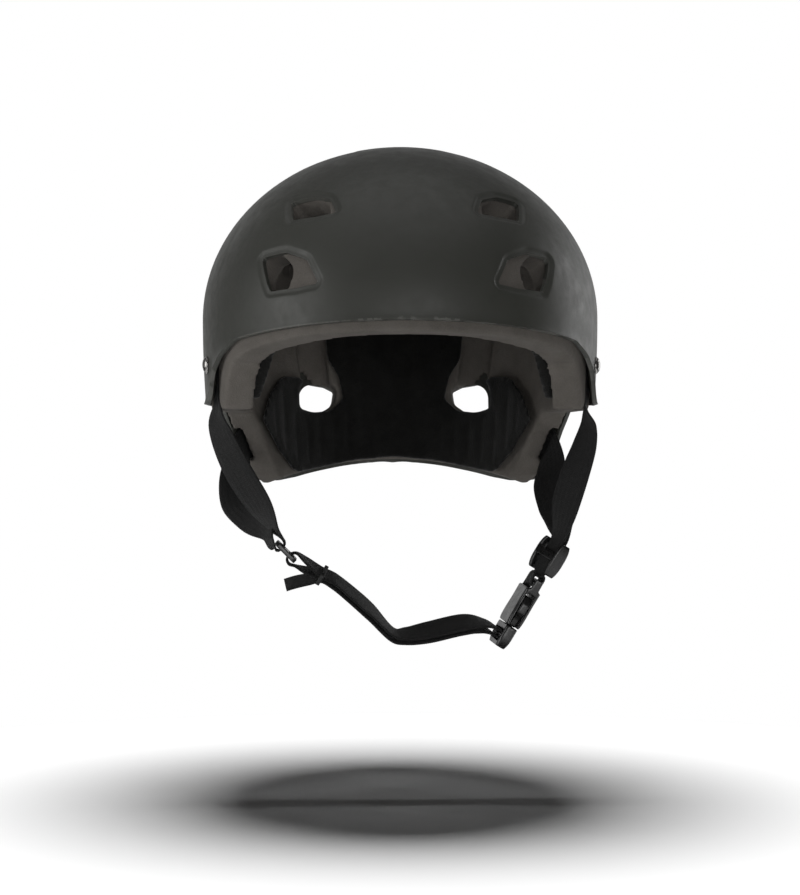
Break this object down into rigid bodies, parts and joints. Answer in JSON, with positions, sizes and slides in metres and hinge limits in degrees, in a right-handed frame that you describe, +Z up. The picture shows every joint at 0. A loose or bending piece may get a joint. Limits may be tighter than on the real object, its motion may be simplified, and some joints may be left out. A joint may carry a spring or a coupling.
{
  "type": "water helmet",
  "caption": "Half-dome water sports helmet: vented hard shell, foam liner, comfort pads and a Y-strap chin harness with a side-release buckle.",
  "frame": {"origin": "centre of the head opening, level with the shell's front brim", "axes": "+Z up to the crown, -Y the way the wearer faces, +X the wearer's left"},
  "size_m": [0.2196, 0.2716, 0.2789],
  "materials": {
    "shell": "fine matte, charcoal with an olive cast",
    "foam": "closed-cell EVA foam, grey brown, dull",
    "pad": "brushed black pile fabric",
    "hook_tape": "black hook tape",
    "webbing": "ribbed black polyester webbing",
    "fitting_plastic": "satin black acetal",
    "keeper_rubber": "black rubber",
    "rivet_steel": "satin stainless steel"
  },
  "bodies": {
    "helmet": {"outer_shell": "shell", "liner_crown": "foam", "liner_front_band": "foam", "liner_neck_band": "foam", "crown_pad": "pad", "front_pad": "pad", "rear_pad": "pad", "temple_pad_left": "pad", "temple_pad_right": "pad", "hook_patches": "hook_tape", "ear_rivet_left": "rivet_steel", "ear_rivet_right": "rivet_steel", "rear_rivet_left": "rivet_steel", "rear_rivet_right": "rivet_steel", "ear_washers": "rivet_steel", "rear_washers": "rivet_steel", "side_strap_left": "webbing", "side_strap_right": "webbing"},
    "divider": {"strap_divider": "fitting_plastic"},
    "chin_harness": {"strap_adjuster": "fitting_plastic", "buckle_socket": "fitting_plastic", "chin_strap": "webbing"},
    "keeper": {"strap_keeper": "keeper_rubber"},
    "plug": {"buckle_plug": "fitting_plastic"},
    "prong_front": {"buckle_prong_front": "fitting_plastic"},
    "prong_rear": {"buckle_prong_rear": "fitting_plastic"}
  },
  "joints": [
    {"name": "chin_strap_swing", "type": "hinge", "parent": "helmet", "child": "chin_harness", "pos_m": [0.0745, -0.01, -0.139], "axis": [0.9894, 0, -0.1453], "range_deg": [-25, 25], "deforming": ["side_strap_left", "side_strap_right"]},
    {"name": "divider_slide", "type": "slide", "parent": "helmet", "child": "divider", "axis": [0.515, 0, 0.8572], "range_m": [0, 0.008]},
    {"name": "keeper_slide", "type": "slide", "parent": "chin_harness", "child": "keeper", "axis": [0.8387, 0, -0.5446], "range_m": [-0.003, 0.009]},
    {"name": "buckle_release", "type": "slide", "parent": "chin_harness", "child": "plug", "axis": [-0.515, 0, -0.8572], "range_m": [0, 0.022], "deforming": ["chin_strap"]},
    {"name": "prong_front_squeeze", "type": "hinge", "parent": "plug", "child": "prong_front", "pos_m": [0.06108, -0.01703, -0.16325], "axis": [-0.8488, -0.1392, 0.51], "range_deg": [0, 7], "stiffness_Nm_per_rad": 0.02, "springref_deg": -1.15},
    {"name": "prong_rear_squeeze", "type": "hinge", "parent": "plug", "child": "prong_rear", "pos_m": [0.05939, -0.00297, -0.16223], "axis": [0.8488, 0.1392, -0.51], "range_deg": [0, 7], "stiffness_Nm_per_rad": 0.02, "springref_deg": -1.15}
  ]
}
